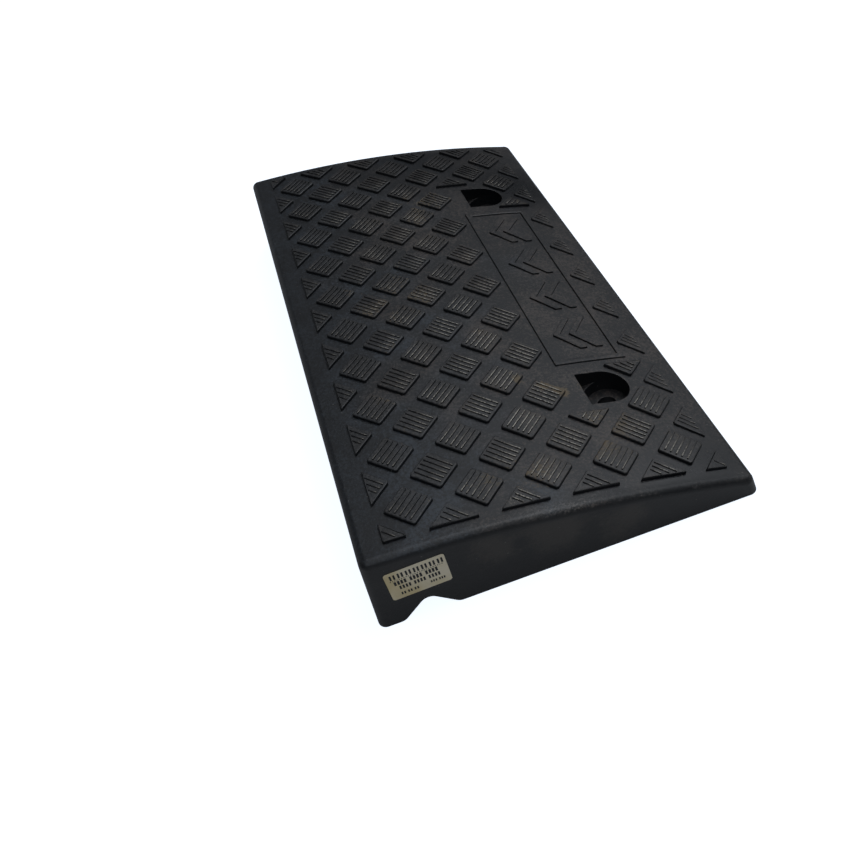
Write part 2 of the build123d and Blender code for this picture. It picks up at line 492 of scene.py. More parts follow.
@dataclass(frozen=True)
class MouldedPlastic:
    """Near-black moulded plastic with grain, haze, road dust, rubbed crests and rim, and scuffs; painted
    highlight on the crests' near ends and the pads' rounded top edges.

    A band runs from where an effect is nothing to where it is full.
    """

    groups: SurfaceGroups
    plastic: Colour = (0.0042, 0.0052, 0.0068, 1.0)
    blue_haze: Colour = (0.028, 0.036, 0.046, 1.0)
    brown_haze: Colour = (0.056, 0.046, 0.040, 1.0)
    pad_grime: Colour = (0.046, 0.041, 0.036, 1.0)
    dust: Colour = (0.112, 0.084, 0.048, 1.0)
    wall_film: Colour = (0.030, 0.027, 0.024, 1.0)
    brown_rub: Colour = (0.085, 0.072, 0.058, 1.0)
    # Pale end of the crests' rub; at the near ends it is partly painted highlight.
    pale_rub_and_highlight: Colour = (0.42, 0.393, 0.34, 1.0)
    # Pale colour on the pads' rounded top edges: rubbing and painted highlight.
    top_rub_and_highlight: Colour = (0.24, 0.21, 0.165, 1.0)
    rim_rub: Colour = (0.19, 0.18, 0.165, 1.0)
    scratch: Colour = (0.10, 0.097, 0.09, 1.0)
    specular: float = 0.5
    grain_size: float = 0.9 * MM
    grain_depth: float = 0.16 * MM
    grain_strength: float = 0.6
    patch_size: float = 34 * MM
    drift_size: float = 55 * MM
    bead_size: float = 1.5 * MM
    lump_size: float = 7 * MM
    lump_height: float = 2.2
    speck_size: float = 0.45 * MM
    scratch_length: float = 30 * MM
    grime_share: float = 0.55
    rim_share: float = 0.45
    scratch_share: float = 0.35
    scuff_share: float = 0.7
    dust_roughness: float = 0.15
    rim_roughness: float = 0.11
    bare_gloss: float = 0.15
    rim_reach: Band = (12 * MM, 5 * MM)
    pad_rise: Band = (1.2 * MM, 2 * MM)
    top_rise: Band = (1.4 * MM, 2.1 * MM)
    wall_drop: Band = (-3 * MM, -9 * MM)
    tall_brown: Band = (10 * MM, 110 * MM)
    toe_brown: Band = (150 * MM, 220 * MM)
    haze_start: Band = (12 * MM, 48 * MM)
    dust_ends: Band = (8 * MM, 40 * MM)
    dust_start: Band = (15 * MM, 60 * MM)
    tread_start: Band = (42 * MM, 72 * MM)
    tread_end: Band = (250 * MM, 225 * MM)
    dull_start: Band = (120 * MM, 190 * MM)
    hazeless: tuple[Mark, ...] = (
        Mark(112, -228, 24, 62, 0.95),
        Mark(72, -246, 36, 38, 0.8),
        Mark(115, 150, 22, 75, 0.95),
        Mark(40, 240, 45, 150, 0.8),
    )
    dusty: tuple[Mark, ...] = (
        Mark(12, 139, 50, 55, 0.35),
        Mark(-50, 5, 61, 60, 0.4),
        Mark(15, -123, 51, 7, 1.2),
        Mark(30, -134, 48, 9, 0.9),
        Mark(41, -142, 45, 12, 1.6),
        Mark(57, -139, 41, 9, 0.8),
        Mark(60, -168, 38, 38, 0.45),
        Mark(-20, -222, 57, 40, 0.5),
        Mark(43, -212, 43, 35, 0.4),
    )
    trodden: tuple[Mark, ...] = (
        Mark(15, -135, 50, 85, 0.9),
        Mark(5, -45, 52, 75, 0.7),
        Mark(-29, -6, 59, 18, 0.5),
        Mark(0, -195, 53, 60, 0.3),
        Mark(-28, -231, 59, 20, 1.5),
        Mark(12, -236, 52, 9, 1.0),
        Mark(59, -237, 40, 9, 0.9),
        Mark(85, -195, 31, 60, 0.3),
        Mark(-10, 150, 55, 70, 0.15),
        Mark(-10, 240, 55, 120, -0.6),
        Mark(95, 215, 26, 85, -0.8),
    )
    rim_rubs: tuple[Mark, ...] = (
        Mark(2, -241, 51, 46, 1.0),
        Mark(58, -247, 38, 14, 0.35),
        Mark(90, -249, 29, 9, 0.5),
        Mark(124, -248, 18, 10, 0.4),
        Mark(-131, 243, 66, 12, 0.8),
    )
    filmed: tuple[Mark, ...] = (
        Mark(-50, -250, 45, 32, 0.8),
        Mark(-5, -250, 38, 38, 1.0),
        Mark(40, -250, 28, 34, 0.8),
        Mark(-31, -250, 38, 9, -0.6),
        Mark(77, -250, 20, 12, -0.6),
    )

    def survey(self, sheet: NodeSheet) -> Survey:
        """Adds the nodes that tell where a point is and how the grain lies there."""
        where = sheet.add("ShaderNodeTexCoord").outputs
        vector = where["Object"]
        facing = sheet.add("ShaderNodeSeparateXYZ", {0: where["Normal"]}).outputs["Z"]
        place = sheet.group(self.groups.places, {"Vector": vector})
        grain = self.groups.place_grain(sheet, vector, self.grain_size, self.patch_size)
        rim = sheet.times(sheet.between(place["Along"], *self.rim_reach), sheet.between(facing, 0.3, 0.8))
        bare = sheet.spread(self.groups.marks(sheet, vector, self.hazeless), 0.0, 1.0)
        return Survey(vector, facing, place["Lift"], place["Along"], place["Down"],
                      grain["Height"], grain["Fleck"], grain["Mottle"], rim, bare)

    def clean(self, sheet: NodeSheet, spot: Survey) -> Socket:
        """Colour of the plastic with its haze, bluish to brownish and greyer on the pads."""
        tone = sheet.plus(sheet.times(spot.mottle, 0.35), sheet.times(spot.fleck, 0.65))
        lean = sheet.plus(
            sheet.spread(sheet.between(spot.down, *self.tall_brown), -0.25, 0.03),
            sheet.spread(sheet.between(spot.down, *self.toe_brown), 0.0, 0.12),
        )
        drift = sheet.plus(sheet.noise(spot.vector, self.drift_size), lean)
        haze = sheet.mix(sheet.between(drift, 0.38, 0.62), self.blue_haze, self.brown_haze)
        hazy = sheet.times(
            sheet.between(tone, 0.44, 0.62),
            sheet.between(spot.facing, 0.3, 0.85),
            sheet.spread(sheet.between(spot.down, *self.haze_start), 0.45, 1.0),
            sheet.minus(1.0, spot.bare),
        )
        colour = sheet.mix(hazy, self.plastic, haze)
        grime = sheet.times(
            sheet.between(spot.lift, *self.pad_rise),
            sheet.between(spot.fleck, 0.35, 0.65),
            sheet.between(spot.facing, 0.5, 0.9),
            self.grime_share,
        )
        return sheet.mix(grime, colour, self.pad_grime)

    def dust_mask(self, sheet: NodeSheet, spot: Survey) -> Socket:
        """How much road dust lies at a point."""
        cover = sheet.times(
            sheet.between(spot.along, *self.dust_ends),
            sheet.between(spot.down, *self.dust_start),
            sheet.spread(sheet.between(spot.lift, *self.pad_rise), 0.2, 0.5),
        )
        cover = sheet.plus(cover, self.groups.marks(sheet, spot.vector, self.dusty))
        sources = {
            "Vector": spot.vector,
            "Facing": spot.facing,
            "Patch Size": self.patch_size,
            "Cover": cover,
        }
        return sheet.group(self.groups.dust, sources)["Mask"]

    def film_mask(self, sheet: NodeSheet, spot: Survey) -> Socket:
        """How much dried splash lies on the walls."""
        wall = sheet.times(sheet.between(spot.facing, 0.3, 0.05), sheet.between(spot.lift, *self.wall_drop))
        cloud = sheet.plus(
            self.groups.marks(sheet, spot.vector, self.filmed),
            sheet.spread(spot.mottle, -0.8, 0.9),
            sheet.spread(spot.fleck, -0.6, 0.6),
        )
        return sheet.times(wall, sheet.between(cloud, 0.15, 0.9))

    def rubbed(self, sheet: NodeSheet, spot: Survey, colour: Socket) -> Socket:
        """Colour with the crests of the ribs, the pads' tops and the near rim rubbed pale in beads; on the
        crests' near ends and the pads' rounded top edges the pale is partly painted highlight.
        """
        beads = sheet.noise(spot.vector, self.bead_size, 3.0, 0.7)
        crest_rub_and_highlight = sheet.add("ShaderNodeAttribute", attribute_name=WEAR_AND_HIGHLIGHT_LAYER).outputs["Fac"]
        trodden = self.groups.marks(sheet, spot.vector, self.trodden)
        tread = sheet.times(
            sheet.plus(trodden, sheet.spread(spot.mottle, -0.35, 0.85)),
            sheet.between(spot.down, *self.tread_start),
            sheet.spread(sheet.between(spot.down, *self.tread_end), 0.3, 1.0),
        )
        ends = sheet.plus(tread, sheet.spread(crest_rub_and_highlight, -0.75, 0.5))
        # Pale crests: rubbing, plus painted highlight where the layer is strongest at the near ends.
        crest = sheet.times(sheet.between(crest_rub_and_highlight, 0.02, 0.2), sheet.between(spot.facing, 0.74, 0.92))
        amount = sheet.times(sheet.between(ends, -0.1, 0.6), sheet.between(beads, 0.36, 0.58))
        tint = sheet.mix(sheet.between(ends, -0.1, 1.2), self.brown_rub, self.pale_rub_and_highlight)
        colour = sheet.mix(sheet.times(crest, amount), colour, tint)
        # Pads' rounded top edges made pale in trodden places: rubbing and painted highlight.
        top = sheet.times(
            sheet.between(spot.lift, *self.top_rise),
            sheet.between(tread, 0.95, 1.9),
            sheet.between(beads, 0.5, 0.72),
            sheet.between(spot.facing, 0.5, 0.85),
        )
        colour = sheet.mix(top, colour, self.top_rub_and_highlight)
        rim = sheet.times(
            spot.rim,
            self.groups.marks(sheet, spot.vector, self.rim_rubs),
            sheet.between(beads, 0.45, 0.68),
            self.rim_share,
        )
        return sheet.mix(rim, colour, self.rim_rub)

    def scuffed(self, sheet: NodeSheet, spot: Survey, colour: Socket) -> Socket:
        """Colour with pale specks and thin scratches."""
        sources = {
            "Vector": spot.vector,
            "Speck Size": self.speck_size,
            "Scratch Length": self.scratch_length,
        }
        scuffs = sheet.group(self.groups.scuffs, sources)
        scratches = sheet.times(scuffs["Scratches"], self.scratch_share)
        marks = sheet.math("MAXIMUM", scuffs["Specks"], scratches)
        return sheet.mix(sheet.times(marks, self.scuff_share), colour, self.scratch)

    def roughness(self, sheet: NodeSheet, spot: Survey, dust: Socket) -> Socket:
        """Roughness, which is higher under dust and on the rims' lower half, and lower where no haze lies."""
        dull = sheet.times(spot.rim, sheet.between(spot.down, *self.dull_start))
        gloss = sheet.times(spot.bare, sheet.minus(1.0, spot.rim))
        rough = sheet.plus(
            sheet.spread(spot.fleck, 0.34, 0.52),
            sheet.times(dust, self.dust_roughness),
            sheet.times(dull, self.rim_roughness),
        )
        return sheet.minus(rough, sheet.times(gloss, self.bare_gloss))

    def material(self) -> bpy.types.Material:
        """The plastic's material."""
        material, sheet, shader = fresh_material("ramp_plastic")
        spot = self.survey(sheet)
        dust = self.dust_mask(sheet, spot)
        colour = sheet.mix(dust, self.clean(sheet, spot), self.dust)
        colour = sheet.mix(self.film_mask(sheet, spot), colour, self.wall_film)
        colour = self.scuffed(sheet, spot, self.rubbed(sheet, spot, colour))
        sheet.feed(shader.inputs["Base Color"], colour)
        sheet.feed(shader.inputs["Roughness"], self.roughness(sheet, spot, dust))
        shader.inputs["Specular IOR Level"].default_value = self.specular
        lumps = sheet.noise(spot.vector, self.lump_size)
        lumps = sheet.times(lumps, sheet.times(spot.rim, self.lump_height))
        relief = sheet.times(sheet.plus(spot.grain, lumps), sheet.spread(spot.bare, 1.0, 0.4))
        sheet.bump(shader, relief, self.grain_strength, self.grain_depth)
        return material


@dataclass(frozen=True)
class LabelFilm:
    """Cream matt film of the label, yellowed towards its kerb end and foot."""

    groups: SurfaceGroups
    film: Colour = (0.80, 0.73, 0.56, 1.0)
    yellowed: Colour = (0.66, 0.55, 0.31, 1.0)
    grain_size: float = 0.5 * MM
    grain_depth: float = 0.05 * MM
    grain_strength: float = 0.15
    patch_size: float = 18 * MM
    stains: tuple[Mark, ...] = (
        Mark(-120, -250, 44, 20, 0.8),
        Mark(-108, -250, 26, 16, 0.9),
        Mark(-88, -250, 27, 12, 0.5),
    )

    def material(self) -> bpy.types.Material:
        """The film's material."""
        material, sheet, shader = fresh_material("label_film_paper")
        vector = sheet.add("ShaderNodeTexCoord").outputs["Object"]
        grain = self.groups.place_grain(sheet, vector, self.grain_size, self.patch_size)
        stain = self.groups.marks(sheet, vector, self.stains)
        stain = sheet.plus(stain, sheet.spread(grain["Mottle"], -0.5, 0.7))
        colour = sheet.mix(sheet.between(stain, 0.0, 1.0), self.film, self.yellowed)
        sheet.feed(shader.inputs["Base Color"], colour)
        sheet.feed(shader.inputs["Roughness"], sheet.spread(grain["Mottle"], 0.45, 0.65))
        sheet.bump(shader, grain["Height"], self.grain_strength, self.grain_depth)
        return material


@dataclass(frozen=True)
class PrintInk:
    """Dark print on the label, thin in places."""

    groups: SurfaceGroups
    ink: Colour = (0.012, 0.012, 0.012, 1.0)
    faded: Colour = (0.05, 0.047, 0.04, 1.0)
    grain_size: float = 0.4 * MM
    patch_size: float = 3 * MM

    def material(self) -> bpy.types.Material:
        """The ink's material."""
        material, sheet, shader = fresh_material("label_print_ink")
        vector = sheet.add("ShaderNodeTexCoord").outputs["Object"]
        mottle = self.groups.place_grain(sheet, vector, self.grain_size, self.patch_size)["Mottle"]
        colour = sheet.mix(sheet.between(mottle, 0.45, 0.75), self.ink, self.faded)
        sheet.feed(shader.inputs["Base Color"], colour)
        sheet.feed(shader.inputs["Roughness"], sheet.spread(mottle, 0.5, 0.7))
        return material


@dataclass(frozen=True)
class PaleFloor:
    """Plain floor that looks nearly white, throws less light back and can be seen through from below."""

    colour: Colour = (0.42, 0.42, 0.42, 1.0)
    roughness: float = 0.9
    glow: Colour = (0.93, 1.0, 1.1, 1.0)
    seen_glow: float = 0.95
    thrown_glow: float = 0.075

    def material(self) -> bpy.types.Material:
        """The floor's material."""
        material, sheet, shader = fresh_material("studio_floor")
        shader.inputs["Base Color"].default_value = self.colour
        shader.inputs["Roughness"].default_value = self.roughness
        shader.inputs["Specular IOR Level"].default_value = 0.0
        shader.inputs["Emission Color"].default_value = self.glow
        seen = sheet.add("ShaderNodeLightPath").outputs["Is Camera Ray"]
        sheet.feed(shader.inputs["Emission Strength"], sheet.spread(seen, self.thrown_glow, self.seen_glow))
        below = sheet.times(seen, sheet.add("ShaderNodeNewGeometry").outputs["Backfacing"])
        clear = sheet.add("ShaderNodeBsdfTransparent").outputs[0]
        mixed = sheet.add("ShaderNodeMixShader", {0: below, 1: shader.outputs[0], 2: clear}).outputs[0]
        sheet.feed(material.node_tree.nodes["Material Output"].inputs["Surface"], mixed)
        return material


def add_piece(name: str, shape: Shape, material: bpy.types.Material) -> bpy.types.Object:
    """Makes an object of a finished shape and frees the shape.

    Args:
        name: Name of the piece.
        shape: The shape, in the shared frame.
        material: Its only material.

    Returns:
        The new object, which sits at the origin.
    """
    mesh = bpy.data.meshes.new(name)
    shape.to_mesh(mesh)
    shape.free()
    mesh.materials.clear()
    mesh.materials.append(material)
    piece = bpy.data.objects.new(name, mesh)
    bpy.context.scene.collection.objects.link(piece)
    return piece


def round_edges(shape: Shape, edges: Iterable[Edge], radius: float, steps: int) -> list[bmesh.types.BMFace]:
    """Rounds edges with an even radius and returns the new faces."""
    result = bmesh.ops.bevel(
        shape,
        geom=list(edges),
        offset=radius,
        offset_type="OFFSET",
        segments=steps,
        profile=0.5,
        affect="EDGES",
        clamp_overlap=False,
        loop_slide=True,
        material=-1,
    )
    return result["faces"]


@dataclass
class RampMoulding:
    """The moulded body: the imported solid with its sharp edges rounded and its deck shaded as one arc.

    The turns of edges are in degrees.
    """

    deck: DeckArc
    layout: TreadLayout
    finish: bpy.types.Material
    node: str = "ramp_body"
    pad_corner: float = 0.95 * MM
    pad_tip: float = 0.3 * MM
    pad_edge: float = 0.95 * MM
    trimmed_edge: float = 0.6 * MM
    soft_edge: float = 0.38 * MM
    panel_edge: float = 0.12 * MM
    panel_slack: float = 0.3 * MM
    panel_depth: float = 0.6 * MM
    seat_level: float = 16 * MM
    recess_slack: float = 1 * MM
    trim_slack: float = 1 * MM
    border: float = 2.5 * MM
    weld: float = 0.001 * MM
    upright_share: Band = (0.3, 0.7)
    top_share: float = 0.3
    corner_turns: Band = (35, 150)
    edge_turns: Band = (55, 140)
    corner_steps: int = 3
    pad_steps: int = 4
    soft_steps: int = 2
    crease: float = math.radians(42)
    flat_within: float = math.radians(4)
    merge_within: float = math.radians(0.05)

    def merged_copy(self) -> Shape:
        """The node's mesh with its loose triangles joined into whole faces."""
        shape = bmesh.new()
        shape.from_mesh(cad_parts[self.node].data)
        bmesh.ops.remove_doubles(shape, verts=shape.verts, dist=self.weld)
        bmesh.ops.dissolve_limit(shape, angle_limit=self.merge_within, verts=shape.verts, edges=shape.edges)
        return shape

    def sharp_edges(self, shape: Shape, turns: Band) -> Iterator[tuple[Edge, Vector]]:
        """Outward edges whose turn is in a band, with their middles."""
        least, most = turns
        for edge in shape.edges:
            if least < math.degrees(edge.calc_face_angle_signed(0.0)) < most:
                yield edge, (edge.verts[0].co + edge.verts[1].co) / 2

    def pad_corners(self, shape: Shape, radius: float) -> list[Edge]:
        """Upright edges at the corners of the pads, where both walls have room for a rounding."""
        height = self.layout.pad_height
        low, high = self.upright_share
        found = []
        for edge, middle in self.sharp_edges(shape, self.corner_turns):
            room = min(face.calc_area() for face in edge.link_faces) / edge.calc_length()
            if low * height < self.deck.lift(middle) < high * height and room > 2 * radius:
                found.append(edge)
        return found

    def on_border(self, point: Vector) -> bool:
        """Whether a point is at the outside of the footprint."""
        low, high = CAD_BOX
        across = min(point.x - low[0], high[0] - point.x)
        along = min(point.y - low[1], high[1] - point.y)
        return min(across, along) < self.border

    def in_recess(self, point: Vector) -> bool:
        """Whether a point is on the ledge, seat or hole of a bolt recess."""
        layout = self.layout
        reach = math.hypot(point.x - layout.bolt_x, abs(point.y) - layout.bolt_spacing / 2)
        above = point.z > self.seat_level - self.recess_slack
        return above and reach < layout.recess_radius + self.recess_slack

    def on_panel(self, point: Vector) -> bool:
        """Whether a point is on the flat panel or its frame."""
        layout = self.layout
        across = abs(self.deck.distance_down(point.x) - layout.panel_middle) - layout.panel_width / 2
        along = abs(point.y) - layout.panel_length / 2
        return across < self.panel_slack and along < self.panel_slack

    def set_heights(self, shape: Shape) -> None:
        """Brings the tops of the pads along the toe and of the panel's frame to their own heights."""
        layout = self.layout
        drop = layout.pad_height - layout.toe_height
        rise = layout.frame_height - layout.panel_raise
        for vertex in shape.verts:
            lift = self.deck.lift(vertex.co)
            step = 0.0
            if self.on_panel(vertex.co):
                if lift > layout.panel_raise / 2:
                    step = rise
            elif lift > drop and layout.pad_under(vertex.co).column == layout.toe_column:
                step = -drop
            vertex.co += self.deck.outward(vertex.co) * step

    def pad_tops(self, shape: Shape, whole: bool) -> list[Edge]:
        """Edges round the tops of the whole pads, or of the trimmed ones."""
        layout = self.layout
        found = []
        for edge, middle in self.sharp_edges(shape, self.edge_turns):
            pad = layout.pad_under(middle)
            gap = abs(self.deck.lift(middle) - layout.height(pad.column))
            on_top = gap < self.top_share * layout.pad_height and not self.on_panel(middle)
            if on_top and (pad.room > layout.reach - self.trim_slack) == whole:
                found.append(edge)
        return found

    def panel_edges(self, shape: Shape) -> list[Edge]:
        """Edges of the low frame round the flat panel."""
        return [edge for edge, middle in self.sharp_edges(shape, self.edge_turns)
                if self.on_panel(middle) and self.deck.lift(middle) > -self.panel_depth]

    def crisp_edges(self, shape: Shape) -> list[Edge]:
        """Edges of the recesses and feet."""
        return [edge for edge, middle in self.sharp_edges(shape, self.edge_turns)
                if self.on_border(middle) or self.in_recess(middle)]

    def corner_normal(self, corner: bmesh.types.BMLoop, areas: dict[bmesh.types.BMFace, float]) -> Vector:
        """Shading normal of one face corner: the faces round it that meet without a crease, by area."""
        vertex = corner.vert
        fan = {corner.face}
        grown = True
        while grown:
            grown = False
            for edge in vertex.link_edges:
                faces = set(edge.link_faces)
                if fan & faces and not faces <= fan and edge.calc_face_angle(math.pi) < self.crease:
                    fan |= faces
                    grown = True
        outward = self.deck.outward(vertex.co)
        total = Vector()
        for face in fan:
            on_deck = face.normal.angle(outward) < self.flat_within
            total += (outward if on_deck else face.normal) * areas[face]
        return total.normalized()

    def soften(self, shape: Shape, edges: list[Edge], radius: float, steps: int) -> None:
        """Rounds edges and brings the normals up to date."""
        round_edges(shape, edges, radius, steps)
        shape.normal_update()

    def build(self) -> bpy.types.Object:
        """Builds and dresses the body."""
        shape = self.merged_copy()
        self.set_heights(shape)
        shape.normal_update()
        for radius in (self.pad_corner, self.pad_tip):
            self.soften(shape, self.pad_corners(shape, radius), radius, self.corner_steps)
        for whole, radius in ((True, self.pad_edge), (False, self.trimmed_edge)):
            self.soften(shape, self.pad_tops(shape, whole), radius, self.pad_steps)
        self.soften(shape, self.panel_edges(shape), self.panel_edge, self.soft_steps)
        self.soften(shape, self.crisp_edges(shape), self.soft_edge, self.soft_steps)
        bmesh.ops.dissolve_degenerate(shape, dist=self.weld, edges=shape.edges)
        shape.normal_update()
        areas = {face: face.calc_area() for face in shape.faces}
        normals = [self.corner_normal(corner, areas) for face in shape.faces for corner in face.loops]
        for face in shape.faces:
            face.smooth = True
        piece = add_piece("ramp_moulding", shape, self.finish)
        piece.data.normals_split_custom_set(normals)
        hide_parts(self.node)
        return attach(piece, BODY)


@dataclass
class TreadRibs:
    """Thin ribs on top of the pads, which turn from column to column and whose crests are paler at their near
    ends: rubbing with painted highlight.
    """

    deck: DeckArc
    layout: TreadLayout
    finish: bpy.types.Material
    count: int = 5
    pitch: float = 3.95 * MM
    width: float = 0.9 * MM
    far_height: float = 1.05 * MM
    near_height: float = 0.82 * MM
    root: float = 0.3 * MM
    # Strength of the pale crest at each rib's near and far end; the near end's extra is painted highlight.
    near_wear_and_highlight: float = 1.0
    far_wear: float = 0.25
    margin: float = 2.2 * MM
    trimmed_margin: float = 1.6 * MM
    shortest: float = 5 * MM
    round_radius: float = 0.25 * MM
    round_steps: int = 2
    turned: tuple[tuple[int, int], ...] = ((7, 7), (9, -5))

    def slant(self, pad: Pad) -> RibSlant:
        """Which way the ribs of a pad run."""
        if pad.column % 2 == 0 or (pad.column, pad.row) in self.turned:
            return RibSlant.TO_NEAR_END
        return RibSlant.TO_FAR_END

    def height(self, pad: Pad) -> float:
        """Height of a pad's ribs, which are lower on the low pads along the toe."""
        height = self.far_height if self.slant(pad) is RibSlant.TO_FAR_END else self.near_height
        return height * self.layout.height(pad.column) / self.layout.pad_height

    def stretch(self, pad: Pad, along: Vector, start: Vector) -> Band:
        """Where a rib begins and ends so that it stays inside its pad.

        Args:
            pad: The pad.
            along: Direction of the rib in the pad's plane.
            start: Middle of the rib before it is trimmed.

        Returns:
            First and last distance along the rib.
        """
        first = -self.layout.pad_size / 2 + self.margin
        last = -first
        for axis in range(2):
            ends = [(pad.low[axis] + self.trimmed_margin - start[axis]) / along[axis],
                    (pad.high[axis] - self.trimmed_margin - start[axis]) / along[axis]]
            first = max(first, min(ends))
            last = min(last, max(ends))
        return first, last

    def add_ribs(self, shape: Shape, pad: Pad) -> list[Edge]:
        """Adds the ribs of one pad and returns the edges round their tops."""
        along = Vector((1.0, self.slant(pad).value, 0.0)).normalized()
        across = Vector((-along.y, along.x, 0.0))
        place = self.deck.place(pad.distance, pad.y, self.layout.height(pad.column))
        layer = shape.verts.layers.float[WEAR_AND_HIGHLIGHT_LAYER]
        height = self.height(pad)
        tops = []
        for step in range(self.count):
            start = across * (step - (self.count - 1) / 2) * self.pitch
            first, last = self.stretch(pad, along, start)
            if last - first < self.shortest:
                continue
            middle = start + along * (first + last) / 2
            turn = Matrix.Rotation(math.atan2(along.y, along.x), 4, "Z")
            size = Matrix.Diagonal((last - first, self.width, height + self.root, 1.0))
            rise = Matrix.Translation(middle + Vector((0.0, 0.0, (height - self.root) / 2)))
            matrix = place @ rise @ turn @ size
            verts = bmesh.ops.create_cube(shape, size=1.0, matrix=matrix)["verts"]
            back = matrix.inverted()
            top = {vertex for vertex in verts if (back @ vertex.co).z > 0}
            # Crest corners at the near end get the stronger value: rubbing plus painted highlight.
            for vertex in top:
                near = (back @ vertex.co).x * along.y < 0
                vertex[layer] = self.near_wear_and_highlight if near else self.far_wear
            tops += {edge for vertex in top for edge in vertex.link_edges if edge.other_vert(vertex) in top}
        return tops

    def build(self) -> bpy.types.Object:
        """Builds and dresses all ribs as one piece."""
        shape = bmesh.new()
        shape.verts.layers.float.new(WEAR_AND_HIGHLIGHT_LAYER)
        tops = []
        for pad in self.layout.pads():
            tops += self.add_ribs(shape, pad)
        for face in round_edges(shape, tops, self.round_radius, self.round_steps):
            face.smooth = True
        piece = add_piece("tread_ribs", shape, self.finish)
        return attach(piece, BODY)


@dataclass
class PanelChevrons:
    """Plain double chevrons raised on the flat panel, pointing up the slope."""

    deck: DeckArc
    layout: TreadLayout
    finish: bpy.types.Material
    count: int = 4
    rows: int = 2
    spacing: float = 52 * MM
    half_span: float = 19 * MM
    slope_depth: float = 15 * MM
    stroke: float = 5.6 * MM
    step: float = 13 * MM
    height: float = 1.3 * MM
    root: float = 0.4 * MM
    round_radius: float = 0.3 * MM
    round_steps: int = 2

    def add_chevron(self, shape: Shape, start: float, middle: float) -> bmesh.types.BMFace:
        """Adds one raised V and returns its top face.

        Args:
            shape: Shape to add to.
            start: Distance down the deck of the V's point.
            middle: Place along the kerb of the V's point.

        Returns:
            The top face.
        """
        arms = (
            (0.0, 0.0),
            (self.slope_depth, self.half_span),
            (self.slope_depth + self.stroke, self.half_span),
            (self.stroke, 0.0),
            (self.slope_depth + self.stroke, -self.half_span),
            (self.slope_depth, -self.half_span),
        )
        foot = [self.deck.place(start + down, middle + side, -self.root).translation for down, side in arms]
        base = shape.faces.new([shape.verts.new(point) for point in foot])
        raised = bmesh.ops.extrude_face_region(shape, geom=[base])["geom"]
        verts = [item for item in raised if isinstance(item, bmesh.types.BMVert)]
        lift = self.deck.outward(verts[0].co) * (self.height + self.root)
        bmesh.ops.translate(shape, verts=verts, vec=lift)
        return next(item for item in raised if isinstance(item, bmesh.types.BMFace))

    def build(self) -> bpy.types.Object:
        """Builds and dresses all chevrons as one piece."""
        shape = bmesh.new()
        tops = []
        reach = self.slope_depth + self.stroke + self.step
        for place in range(self.count):
            middle = (place - (self.count - 1) / 2) * self.spacing
            for row in range(self.rows):
                start = self.layout.panel_middle - reach / 2 + row * self.step
                tops.append(self.add_chevron(shape, start, middle))
        bmesh.ops.recalc_face_normals(shape, faces=shape.faces)
        edges = {edge for face in tops for edge in face.edges}
        for face in round_edges(shape, edges, self.round_radius, self.round_steps):
            face.smooth = True
        piece = add_piece("panel_chevrons", shape, self.finish)
        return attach(piece, BODY)


@dataclass(frozen=True)
class PrintRow:
    """One row of plain bars in clusters on the label, measured from the label's middle."""

    height: float
    bar: Band
    gap: float
    left: float
    clusters: int
    cluster: int
    space: float = 0.0


